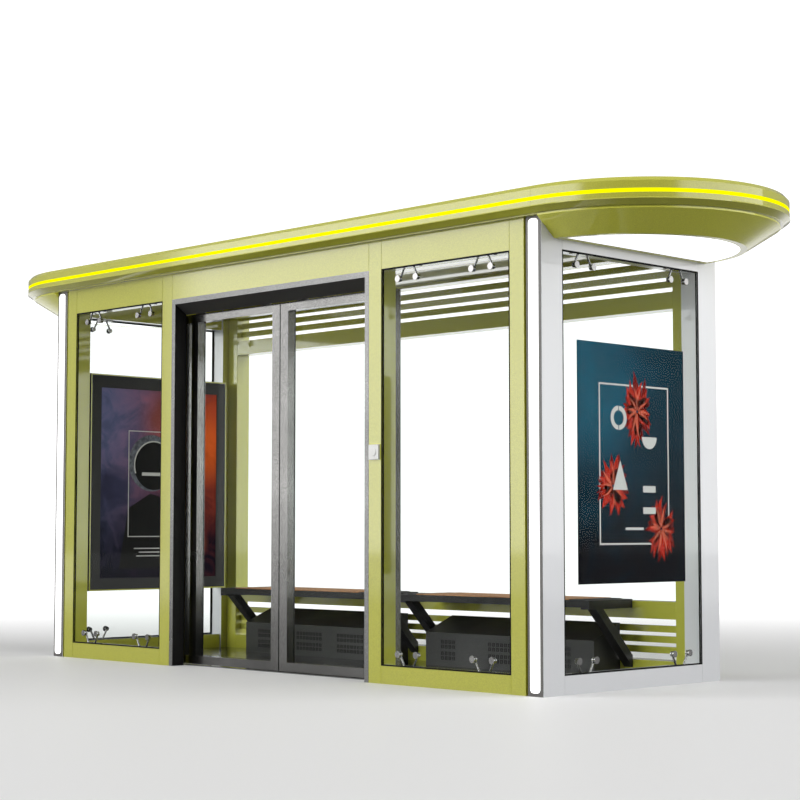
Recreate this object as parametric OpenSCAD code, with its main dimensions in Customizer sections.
// Bus shelter with a long round-ended canopy, glazed walls and a two-leaf sliding door.
// X runs along the front wall, the front wall faces -Y, Z is up and the ground is at Z = 0.

/* [Overall] */
// Length over the outer faces of the two end walls
shelter_l = 4200; // [3600:50:5400]
// Depth over the outer faces of the front and back walls
shelter_d = 1460; // [1300:10:1900]
// Height of the walls, up to the underside of the roof
wall_h = 2375; // [2250:5:2700]

/* [Wall frames] */
// Width of a front or back wall post
post_w = 97; // [70:1:140]
// Depth of the front and back wall frames
frame_d = 110; // [80:1:150]
// Width of a corner post along X
corner_w = 102; // [80:1:140]
// Depth of a corner post along Y
corner_d = 160; // [120:1:220]
// Open joint between a corner post and the wall frame beside it
corner_joint = 13; // [6:1:25]
// Height of the bottom rails
rail_h = 95; // [60:1:140]
// Height of the window heads above the ground
head_h = 2219; // [2000:1:2240]

/* [Glass] */
// Thickness of the window glass
glass_t = 8; // [6:1:12]
// Depth of the glass behind the outer face of its wall
glass_set = 3; // [1:1:30]
// Gap between the glass and the frame around it
glass_gap = 0.5; // [0.3:0.1:2]

/* [Door] */
// Width of the doorway between its two posts
door_w = 1741; // [1400:1:1900]
// Distance of the doorway's middle from the shelter's middle
door_shift = -7; // [-40:1:40]
// Thickness of the sleeve that lines the doorway
sleeve_t = 32; // [20:1:50]
// Depth of the sleeve
sleeve_d = 86; // [50:1:100]
// Drop of the sloped head lining from front to back
head_drop = 58; // [20:1:70]
// Thickness of a door leaf
leaf_t = 60; // [45:1:70]
// Clearance between a leaf and the wall frame in front of it
leaf_clear = 9; // [6:1:15]
// Width of a leaf's closing stile
stile_w = 66; // [45:1:90]
// Width of a leaf's two other stiles
tail_stile_w = 61; // [45:1:90]
// Width of the narrow pane between those two stiles
tail_gap = 49; // [20:1:70]
// Height of a leaf's rails
leaf_rail_h = 50; // [35:1:80]
// Gap between the two closed leaves
leaf_gap = 8; // [5:1:16]
// Clearance under the leaves
leaf_lift = 10; // [9:1:20]
// Overlap of a closed leaf behind its door post
leaf_overlap = 65; // [15:1:80]
// Travel of each leaf
leaf_travel = 840; // [500:5:850]
// Thickness of the door glass
leaf_glass_t = 6; // [4:1:10]

/* [Canopy] */
// Distance that the canopy rim stands out from the walls
rim_out = 77; // [50:1:120]
// Height of the underside of the rim above the walls
rim_drop = 6; // [2:1:12]
// Height of the canopy from the top of the walls to its top face
canopy_h = 138; // [110:1:200]
// Height of the light strip around the rim
strip_h = 20; // [14:1:34]
// Depth of the groove that holds the light strip
strip_d = 11; // [6:1:16]
// Radius of the flat soffit under each round end
soffit_r = 634; // [450:1:660]
// Distance of that radius's centre inside the end wall
soffit_in = 53; // [0:1:80]
// Height of the flat soffit under the round ends
soffit_h = 2268; // [2240:1:2300]
// Radius of the light panel in the soffit
panel_r = 597; // [400:1:620]
// Width of the soffit between the end wall and the light panel
panel_edge = 48; // [10:1:80]

/* [Back wall] */
// Height of the lower louvre
low_louvre_h = 229; // [200:1:300]
// Height of the upper louvre
top_louvre_h = 216; // [200:1:300]
// Height of a louvre slat
slat_h = 37; // [20:1:44]
// Gap between louvre slats
slat_gap = 21; // [8:1:26]
// Thickness of a louvre slat
slat_t = 20; // [10:1:30]
// Number of slats in the upper and in the lower louvre
slat_n = 3; // [1:1:3]
// Height of the two inner rails of the back wall
inner_rail_h = 96; // [60:1:140]

/* [Bench] */
// Height of the seat
seat_h = 435; // [400:1:500]
// Depth of the seat
seat_d = 378; // [320:1:440]
// Length of one bench module
bench_l = 1485; // [1200:5:1600]
// Gap between the two bench modules
bench_gap = 205; // [10:1:300]
// Distance of the bench's middle from the shelter's middle
bench_shift = 1; // [0:1:100]
// Thickness of the seat boards
board_t = 5; // [4:1:25]
// Height of the bench's steel rails
bench_rail_h = 40; // [25:1:60]
// Width of a bench bracket
bracket_w = 60; // [35:1:80]
// Depth of a heater box
heater_d = 231; // [150:1:300]
// Height of a heater box at its front
heater_h = 202; // [150:1:240]
// Rise of its sloped top towards the back
heater_rise = 92; // [0:1:110]

/* [Fittings] */
// Diameter of the glass fixing discs
disc_dia = 36; // [24:1:50]
// Spacing of the two discs on one fitting
disc_gap = 134; // [90:1:180]
// Distance of the discs from the edge of the opening
disc_in = 66; // [50:1:90]
// Thickness of the floor plate
floor_t = 4; // [3:1:4]

/* [Hidden] */
$fn = 96;

edge = 1.5;                                      // chamfer of the frame members
half_l = shelter_l / 2;
half_d = shelter_d / 2;
front_half = half_l - corner_w - corner_joint;   // half length of the front and back frames
inner_x = half_l - corner_w;                     // inner face of the end walls
back_in = half_d - frame_d;                      // inner face of the back wall
door_left = door_shift - door_w / 2;             // edges of the doorway between its posts
door_right = door_shift + door_w / 2;
head_space = wall_h - head_h;
side_gap = shelter_d - 2 * corner_d;             // clear width of an end wall's opening

// the front wall's posts, each as the X of its left face
front_post_x = [-front_half, door_left - post_w, door_right, front_half - post_w];
left_window = [-front_half + post_w, door_left - post_w];
right_window = [door_right + post_w, front_half - post_w];

// leaf sizes
leaf_y = -half_d + frame_d + leaf_clear;         // front face of the leaves
leaf_w = door_w / 2 + leaf_overlap - leaf_gap / 2;
leaf_top = head_h - sleeve_t - head_drop + 2;
leaf_h = leaf_top - leaf_lift;
tail_l = 2 * tail_stile_w + tail_gap;            // the two other stiles and the strip between them
glass_in = 12;                                   // depth of the glass in its grooves
leaf_glass_y = leaf_y + leaf_t - 3 - leaf_glass_t;

// track and hangers
track_w = 2 * (leaf_clear + leaf_t / 2);         // so its front face meets the beam
track_h = 84;
track_wall = 6;
track_slot = 20;
track_z = head_h + 50;                           // behind the front beam
hanger_t = 8;
head_w = 44;
roller_gap = 0.3;
hanger_l = 90;
hanger_in = 160;                                 // hanger's middle from the leaf's edge

// canopy
rim_in = 30;                                     // the rim's inner face, out from the walls
strip_z = wall_h + 60;
strip_set = 1;                                   // the strip's face, in from the rim's
rim_joint = 0.8;                                 // open joint between two lengths of the rim
rim_low = wall_h + rim_drop;
roof_top = wall_h + canopy_h;
panel_t = 8;
ceiling_t = 8;
ceiling_light_x = [-front_half + 250, front_half - 250];
ceiling_light_y = [-180, 180];

// back wall heights
slat_pitch = slat_h + slat_gap;
slat_y = half_d - 57;                            // middle plane of the slats and the back glass
slats_h = slat_n * slat_pitch - slat_gap;        // height of a louvre's slats
cap_h = 24;                                      // strip over the upper louvre
lower_rail_z = rail_h + low_louvre_h;
top_louvre_z = wall_h - cap_h - top_louvre_h;
upper_rail_z = top_louvre_z - inner_rail_h;

// bench
bench_y = back_in - seat_d;
bench_x = [bench_shift - bench_gap / 2 - bench_l, bench_shift + bench_gap / 2];
arm_h = 50;                                      // height of a bracket's arm
brace_w = 67;                                    // width of its brace, measured along Y
brace_in = 56;                                   // the brace, back from the seat's front
brace_foot = 50;                                 // height of its foot
heater_in = bracket_w + 30;                      // heater box from a module's ends
plate_in = [bracket_w + 13, 148];                // steel end plates of the seat, from a module's ends
seat_plate_t = 3;
seat_rest = 30;                                  // ledge under the ends of the boards

// fittings
knob_r = 14;
knob_l = 10;
shank_r = 8;
arm_r = 6;
plate_l = 125;
plate_w = 40;
plate_t = 6;

module slab(x, y, z) {
    translate([x[0], y[0], z[0]]) cube([x[1] - x[0], y[1] - y[0], z[1] - z[0]]);
}

// a frame member with its upright edges chamfered
module member(x, y, z) {
    translate([0, 0, z[0]]) linear_extrude(z[1] - z[0])
        polygon([[x[0] + edge, y[0]], [x[1] - edge, y[0]], [x[1], y[0] + edge], [x[1], y[1] - edge],
            [x[1] - edge, y[1]], [x[0] + edge, y[1]], [x[0], y[1] - edge], [x[0], y[0] + edge]]);
}

module both_ends() {
    children();
    mirror([1, 0, 0]) children();
}

module front_and_back() {
    children();
    mirror([0, 1, 0]) children();
}

module floor_plate() {
    color("dimgray") {
        slab([-front_half, front_half], [-half_d + frame_d, back_in], [0, floor_t]);
        slab([-inner_x, inner_x], [-side_gap / 2, side_gap / 2], [0, floor_t]);
    }
}

// each corner post has an inner return that covers its open joint
module corner_posts() {
    color("gainsboro")
        both_ends() front_and_back()
            linear_extrude(wall_h)
                polygon([[inner_x + edge, -half_d], [half_l - edge, -half_d], [half_l, -half_d + edge],
                    [half_l, -half_d + corner_d - edge], [half_l - edge, -half_d + corner_d],
                    [front_half, -half_d + corner_d], [front_half, -half_d + frame_d],
                    [inner_x, -half_d + frame_d], [inner_x, -half_d + edge]]);
}

module end_wall_beams() {
    color("gainsboro")
        both_ends()
            member([inner_x, half_l], [-side_gap / 2, side_gap / 2], [head_h, wall_h]);
}

module end_wall_rails() {
    color("gainsboro")
        both_ends()
            member([inner_x, half_l], [-side_gap / 2, side_gap / 2], [0, rail_h]);
}

// glass in an opening w wide from z0 to z1; it lies in the XZ plane, its outer face at Y = 0
module pane(w, z0, z1, pair_x) {
    difference() {
        translate([-w / 2 + glass_gap, 0, z0 + glass_gap])
            cube([w - 2 * glass_gap, glass_t, z1 - z0 - 2 * glass_gap]);
        for (s = [-1, 1], k = [-1, 1], z = [z0 + disc_in, z1 - disc_in])
            translate([s * pair_x + k * disc_gap / 2, -1, z])
                rotate([-90, 0, 0]) cylinder(r = shank_r + 0.5, h = glass_t + 2, $fn = 24);
    }
}

// a round rod from point a to point b
module rod(a, b, r) {
    d = b - a;
    n = norm(d);
    translate(a)
        rotate([0, acos(d[2] / n), atan2(d[1], d[0])])
            cylinder(r = r, h = n, $fn = 24);
}

// one two-armed glass fitting, hanging from an edge at Z = 0, with the outer face of the glass at Y = 0
module fitting() {
    knob_y = glass_t + knob_l * 0.6;
    translate([-plate_l / 2, glass_t + 2, -plate_t]) cube([plate_l, plate_w, plate_t]);
    for (k = [-1, 1]) {
        translate([k * disc_gap / 2, 0, -disc_in]) rotate([-90, 0, 0]) {
            translate([0, 0, -8]) cylinder(d = disc_dia, h = 8, $fn = 48);
            cylinder(r = shank_r, h = glass_t, $fn = 24);
            translate([0, 0, glass_t]) cylinder(r = knob_r, h = knob_l, $fn = 48);
        }
        rod([k * disc_gap / 2, knob_y, -disc_in], [k * disc_gap / 4, knob_y, -plate_t / 2], arm_r);
    }
}

// the four fittings of an opening from z0 to z1
module opening_fittings(z0, z1, pair_x) {
    for (s = [-1, 1]) {
        translate([s * pair_x, 0, z1]) fitting();
        translate([s * pair_x, 0, z0]) mirror([0, 0, 1]) fitting();
    }
}

front_pair = 269;                                // fittings from the middle of a front window
end_pair = 391;                                  // and from the middle of an end wall

module to_right_end() {
    translate([half_l - glass_set, 0, 0]) rotate(90) children();
}

module end_wall_glass() {
    color("lightcyan", 0.3)
        both_ends() to_right_end() pane(side_gap, rail_h, head_h, end_pair);
}

module end_wall_fittings() {
    color("silver")
        both_ends() to_right_end() opening_fittings(rail_h, head_h, end_pair);
}

module corner_light_lenses() {
    lens_w = 61;
    lens_t = 5;
    lens_r = 20;
    lens_z = [17, wall_h - 14];
    color("white")
        both_ends()
            translate([half_l - corner_w / 2, -half_d, 0]) rotate([90, 0, 0])
                linear_extrude(lens_t)
                    union() {
                        translate([-lens_w / 2, lens_z[0] + lens_r])
                            square([lens_w, lens_z[1] - lens_z[0] - 2 * lens_r]);
                        translate([-lens_w / 2 + lens_r, lens_z[0]])
                            square([lens_w - 2 * lens_r, lens_z[1] - lens_z[0]]);
                        for (x = [-1, 1], z = [lens_z[0] + lens_r, lens_z[1] - lens_r])
                            translate([x * (lens_w / 2 - lens_r), z]) circle(r = lens_r);
                    }
}

module corner_joint_strips() {
    seal_in = 25;
    color("black")
        both_ends() front_and_back()
            slab([front_half, inner_x], [-half_d + seal_in, -half_d + frame_d], [0, wall_h]);
}

module front_posts() {
    color("yellowgreen")
        for (x = front_post_x)
            member([x, x + post_w], [-half_d, -half_d + frame_d], [0, wall_h]);
}

module front_beams() {
    color("yellowgreen")
        for (x = [left_window, [door_left, door_right], right_window])
            member(x, [-half_d, -half_d + frame_d], [head_h, wall_h]);
}

module front_rails() {
    color("yellowgreen")
        for (x = [left_window, right_window])
            member(x, [-half_d, -half_d + frame_d], [0, rail_h]);
}

module at_window(x) {
    translate([(x[0] + x[1]) / 2, -half_d + glass_set, 0]) children();
}

module front_window_glass() {
    color("lightcyan", 0.3)
        for (x = [left_window, right_window])
            at_window(x) pane(x[1] - x[0], rail_h, head_h, front_pair);
}

module front_window_fittings() {
    color("silver")
        for (x = [left_window, right_window])
            at_window(x) opening_fittings(rail_h, head_h, front_pair);
}

module door_jambs() {
    color("gray") {
        slab([door_left, door_left + sleeve_t], [-half_d, -half_d + sleeve_d], [0, head_h - sleeve_t]);
        slab([door_right - sleeve_t, door_right], [-half_d, -half_d + sleeve_d], [0, head_h - sleeve_t]);
    }
}

module door_head() {
    color("gray")
        translate([door_left, -half_d, 0]) rotate([90, 0, 90])
            linear_extrude(door_w)
                polygon([[0, head_h - sleeve_t], [sleeve_d, head_h - sleeve_t],
                    [sleeve_d, head_h], [0, head_h]]);
    color("dimgray")
        translate([door_left + sleeve_t, -half_d, 0]) rotate([90, 0, 90])
            linear_extrude(door_w - 2 * sleeve_t)
                polygon([[2, head_h - sleeve_t], [sleeve_d, head_h - sleeve_t - head_drop],
                    [sleeve_d, head_h - sleeve_t]]);
}

track_y = leaf_y + leaf_t / 2;
track_half = door_w / 2 + leaf_overlap + leaf_travel + 10;

module door_track() {
    hollow_w = track_w - 2 * track_wall;
    color("darkgray")
        difference() {
            slab([door_shift - track_half, door_shift + track_half],
                [track_y - track_w / 2, track_y + track_w / 2], [track_z, track_z + track_h]);
            slab([door_shift - track_half - 1, door_shift + track_half + 1],
                [track_y - track_slot / 2, track_y + track_slot / 2], [track_z - 1, track_z + track_wall + 1]);
            slab([door_shift - track_half - 1, door_shift + track_half + 1],
                [track_y - hollow_w / 2, track_y + hollow_w / 2],
                [track_z + track_wall, track_z + track_h - track_wall]);
        }
}

// The left leaf, from its closing edge at X = 0 towards -X.
leaf_bays = [[-leaf_w + tail_stile_w, -leaf_w + tail_stile_w + tail_gap], [-leaf_w + tail_l, -stile_w]];

module leaf_stiles() {
    difference() {
        for (x = [[-leaf_w, leaf_bays[0][0]], [leaf_bays[0][1], leaf_bays[1][0]], [leaf_bays[1][1], 0]])
            slab(x, [leaf_y, leaf_y + leaf_t], [leaf_lift, leaf_top]);
        leaf_glass();
    }
}

module leaf_rails() {
    difference() {
        for (x = leaf_bays, z = [leaf_lift, leaf_top - leaf_rail_h])
            slab(x, [leaf_y, leaf_y + leaf_t], [z, z + leaf_rail_h]);
        leaf_glass();
    }
}

module leaf_glass() {
    for (x = leaf_bays)
        slab([x[0] - glass_in, x[1] + glass_in], [leaf_glass_y, leaf_glass_y + leaf_glass_t],
            [leaf_lift + leaf_rail_h - glass_in, leaf_top - leaf_rail_h + glass_in]);
}

module leaf_hangers() {
    lip = track_z + track_wall;
    for (x = [-hanger_in, -leaf_w + hanger_in]) {
        slab([x - hanger_l / 2, x + hanger_l / 2], [track_y - hanger_t / 2, track_y + hanger_t / 2],
            [leaf_top, lip + 30]);
        slab([x - hanger_l / 2, x + hanger_l / 2], [track_y - head_w / 2, track_y + head_w / 2],
            [lip + roller_gap, lip + 24]);
    }
}

module left_leaf() {
    translate([door_shift - leaf_gap / 2, 0, 0]) children();
}

module right_leaf() {
    translate([door_shift + leaf_gap / 2, 0, 0]) mirror([1, 0, 0]) children();
}

module left_leaf_stiles() { color("gray") left_leaf() leaf_stiles(); }

module left_leaf_rails() { color("gray") left_leaf() leaf_rails(); }

module left_leaf_glass() { color("lightcyan", 0.3) left_leaf() leaf_glass(); }

module left_leaf_hangers() { color("silver") left_leaf() leaf_hangers(); }

module right_leaf_stiles() { color("gray") right_leaf() leaf_stiles(); }

module right_leaf_rails() { color("gray") right_leaf() leaf_rails(); }

module right_leaf_glass() { color("lightcyan", 0.3) right_leaf() leaf_glass(); }

module right_leaf_hangers() { color("silver") right_leaf() leaf_hangers(); }

module door_button() {
    button_w = 74;
    button_h = 80;
    button_t = 12;
    button_z = 1192;
    color("white")
        translate([door_right + post_w / 2, -half_d, button_z + button_h / 2]) rotate([90, 0, 0])
            union() {
                translate([-button_w / 2, -button_h / 2, 0]) cube([button_w, button_h, button_t]);
                translate([0, 0, button_t]) cylinder(d = button_w * 0.55, h = 3);
            }
}

module back_posts() {
    color("yellowgreen")
        both_ends()
            member([front_half - post_w, front_half], [back_in, half_d], [0, wall_h]);
}

back_span = [-front_half + post_w, front_half - post_w];

module back_rails() {
    color("yellowgreen") {
        member(back_span, [back_in, half_d], [0, rail_h]);
        member(back_span, [back_in, half_d], [lower_rail_z, lower_rail_z + inner_rail_h]);
        member(back_span, [back_in, half_d], [upper_rail_z, upper_rail_z + inner_rail_h]);
        member(back_span, [back_in, half_d], [wall_h - cap_h, wall_h]);
    }
}

module louvres() {
    color("olivedrab")
        for (z = [rail_h + (low_louvre_h - slats_h) / 2, top_louvre_z + (top_louvre_h - slats_h) / 2],
            k = [0 : slat_n - 1])
            slab(back_span, [slat_y - slat_t / 2, slat_y + slat_t / 2],
                [z + k * slat_pitch, z + k * slat_pitch + slat_h]);
}

module back_glass() {
    color("lightcyan", 0.3)
        slab([back_span[0] + glass_gap, back_span[1] - glass_gap],
            [slat_y - glass_t / 2, slat_y + glass_t / 2],
            [lower_rail_z + inner_rail_h + glass_gap, upper_rail_z - glass_gap]);
}

// plan of the canopy, out from the walls by o
module canopy_plan(o) {
    square([shelter_l, shelter_d + 2 * o], center = true);
    for (s = [-1, 1]) translate([s * half_l, 0]) circle(r = half_d + o, $fn = 192);
}

module roof_core() {
    color("olive")
        translate([0, 0, wall_h]) linear_extrude(canopy_h) canopy_plan(rim_in);
}

module ceiling_panel() {
    color("darkkhaki")
        difference() {
            slab([-front_half, front_half], [-half_d + frame_d, back_in], [wall_h - ceiling_t, wall_h]);
            slab(ceiling_light_x, ceiling_light_y, [wall_h - ceiling_t - 1, wall_h + 1]);
        }
}

module ceiling_light() {
    color("white")
        slab(ceiling_light_x, ceiling_light_y, [wall_h - ceiling_t, wall_h]);
}

// section of the rim: X is the distance out from the walls, Y is the height
module rim_section() {
    polygon([[rim_in, rim_low], [rim_in + 15, rim_low], [rim_out + 3, rim_low + 25],
        [rim_out, rim_low + 30], [rim_out, strip_z], [rim_out - strip_d, strip_z],
        [rim_out - strip_d, strip_z + strip_h], [rim_out, strip_z + strip_h],
        [rim_out, roof_top - 20], [rim_out - 18, roof_top], [rim_in, roof_top]]);
}

module strip_section() {
    translate([rim_out - strip_d, strip_z]) square([strip_d - strip_set, strip_h]);
}

// a section swept along the straight front edge, short of both its ends by e
module along_front(e = 0) {
    translate([half_l - e, -half_d, 0]) rotate([90, 0, -90])
        linear_extrude(shelter_l - 2 * e) children();
}

// a section turned round the right end
module round_right() {
    translate([half_l, 0, 0]) rotate(-90) rotate_extrude(angle = 180, $fn = 192)
        translate([half_d, 0]) children();
}

module front_rim() { color("yellowgreen") along_front(rim_joint) rim_section(); }

module back_rim() { color("yellowgreen") mirror([0, 1, 0]) along_front(rim_joint) rim_section(); }

module right_rim() { color("yellowgreen") round_right() rim_section(); }

module left_rim() { color("yellowgreen") mirror([1, 0, 0]) round_right() rim_section(); }

module rim_light_strip() {
    color("yellow") {
        front_and_back() along_front() strip_section();
        both_ends() round_right() strip_section();
    }
}

// the part of a disc of radius r that lies e or more outside the right end wall
module half_disc(r, e) {
    intersection() {
        translate([half_l - soffit_in, 0]) circle(r = r, $fn = 192);
        translate([half_l + e, -r]) square([r, 2 * r]);
    }
}

// Under a round end: a flat soffit with a slope all round it, up to the rim.
module end_soffits() {
    lip = 7;
    top_r = half_d + rim_in;
    grow = top_r / soffit_r;
    apex = soffit_in * grow / (grow - 1);            // where the slope's sides would meet, in plan
    color("olive") both_ends() difference() {
        union() {
            translate([0, 0, wall_h - lip]) linear_extrude(lip)
                intersection() {
                    translate([half_l, 0]) circle(r = top_r, $fn = 192);
                    translate([half_l, -top_r]) square([top_r, 2 * top_r]);
                }
            intersection() {
                translate([half_l - apex, 0, soffit_h])
                    linear_extrude(wall_h - lip - soffit_h, scale = grow)
                        translate([apex - soffit_in, 0]) circle(r = soffit_r, $fn = 192);
                translate([half_l, -top_r, soffit_h]) cube([top_r, 2 * top_r, wall_h - lip - soffit_h]);
            }
        }
        translate([0, 0, soffit_h - 1]) linear_extrude(panel_t + 1) half_disc(panel_r, panel_edge);
    }
}

module soffit_light_panels() {
    color("white")
        both_ends()
            translate([0, 0, soffit_h]) linear_extrude(panel_t) half_disc(panel_r, panel_edge);
}

module poster_panel() {
    poster_w = 886;
    poster_z = [541, 1774];
    poster_t = 6;
    x = half_l - glass_set - glass_t;
    color("midnightblue")
        slab([x - poster_t, x], [-poster_w / 2, poster_w / 2], poster_z);
}

display_z = [418, 1845];
display_back = 82;                               // the case's back, in from the wall's outer face
display_in = 53;                                 // the case's face, in from its inner face
display_side = 85;
screen_t = 4;
screen_set = 3;

module display_case() {
    x0 = -half_l + display_back;
    x1 = -inner_x + display_in;
    color("dimgray")
        difference() {
            slab([x0, x1], [-side_gap / 2, side_gap / 2], display_z);
            slab([x1 - screen_t - screen_set, x1 + 1],
                [-side_gap / 2 + display_side, side_gap / 2 - display_side],
                [display_z[0] + 80, display_z[1] - 90]);
        }
}

module display_screen() {
    x1 = -inner_x + display_in - screen_set;
    color("teal")
        slab([x1 - screen_t, x1], [-side_gap / 2 + display_side, side_gap / 2 - display_side],
            [display_z[0] + 80, display_z[1] - 90]);
}

module bench_frame() {
    top = seat_h - board_t;
    difference() {
        slab([0, bench_l], [bench_y, back_in], [top - bench_rail_h, top]);
        slab([bench_rail_h, bench_l - bench_rail_h], [bench_y + bench_rail_h, back_in - bench_rail_h],
            [top - bench_rail_h - 1, top + 1]);
    }
    for (x = [plate_in, [bench_l - plate_in[1], bench_l - plate_in[0]]])
        slab(x, [bench_y + 8, back_in - 4], [top - 1, top + seat_plate_t]);
    for (x = [[plate_in[0], plate_in[1] + seat_rest],
            [bench_l - plate_in[1] - seat_rest, bench_l - plate_in[0]]])
        slab(x, [bench_y + 8, back_in - 4], [top - seat_plate_t, top]);
    for (x = [0, bench_l - bracket_w]) translate([x, 0, 0]) bracket(top);
}

// a bracket under an end of the seat: an arm and a brace that stands on the back wall's base rail
module bracket(top) {
    low = top - arm_h;
    y0 = bench_y + brace_in;
    slab([0, bracket_w], [bench_y, back_in], [low, top]);
    rotate([90, 0, 90]) linear_extrude(bracket_w)
        polygon([[y0, low + 1], [y0 + brace_w, low + 1],
            [back_in, brace_foot + brace_w], [back_in, brace_foot]]);
}

module bench_frames() { color("black") for (x = bench_x) translate([x, 0, 0]) bench_frame(); }

module bench_boards() {
    board_n = 4;
    board_gap = 6;
    board_w = (seat_d - 8 + board_gap) / board_n - board_gap;
    color("peru")
        for (x = bench_x, k = [0 : board_n - 1])
            slab([x + plate_in[1] + 2, x + bench_l - plate_in[1] - 2],
                [bench_y + 4 + k * (board_w + board_gap), bench_y + 4 + k * (board_w + board_gap) + board_w],
                [seat_h - board_t, seat_h]);
}

module heater_boxes() {
    y = [back_in - heater_d, back_in];
    color("darkslategray")
        for (x = bench_x)
            translate([x + heater_in, 0, 0]) rotate([90, 0, 90])
                linear_extrude(bench_l - 2 * heater_in)
                    polygon([[y[0], floor_t], [y[1], floor_t], [y[1], heater_h + heater_rise],
                        [y[0], heater_h]]);
}

floor_plate();
corner_posts();
end_wall_beams();
end_wall_rails();
end_wall_glass();
end_wall_fittings();
corner_light_lenses();
corner_joint_strips();
front_posts();
front_beams();
front_rails();
front_window_glass();
front_window_fittings();
door_jambs();
door_head();
door_track();
left_leaf_stiles();
left_leaf_rails();
left_leaf_glass();
left_leaf_hangers();
right_leaf_stiles();
right_leaf_rails();
right_leaf_glass();
right_leaf_hangers();
door_button();
back_posts();
back_rails();
louvres();
back_glass();
roof_core();
ceiling_panel();
ceiling_light();
front_rim();
back_rim();
right_rim();
left_rim();
rim_light_strip();
end_soffits();
soffit_light_panels();
poster_panel();
display_case();
display_screen();
bench_frames();
bench_boards();
heater_boxes();
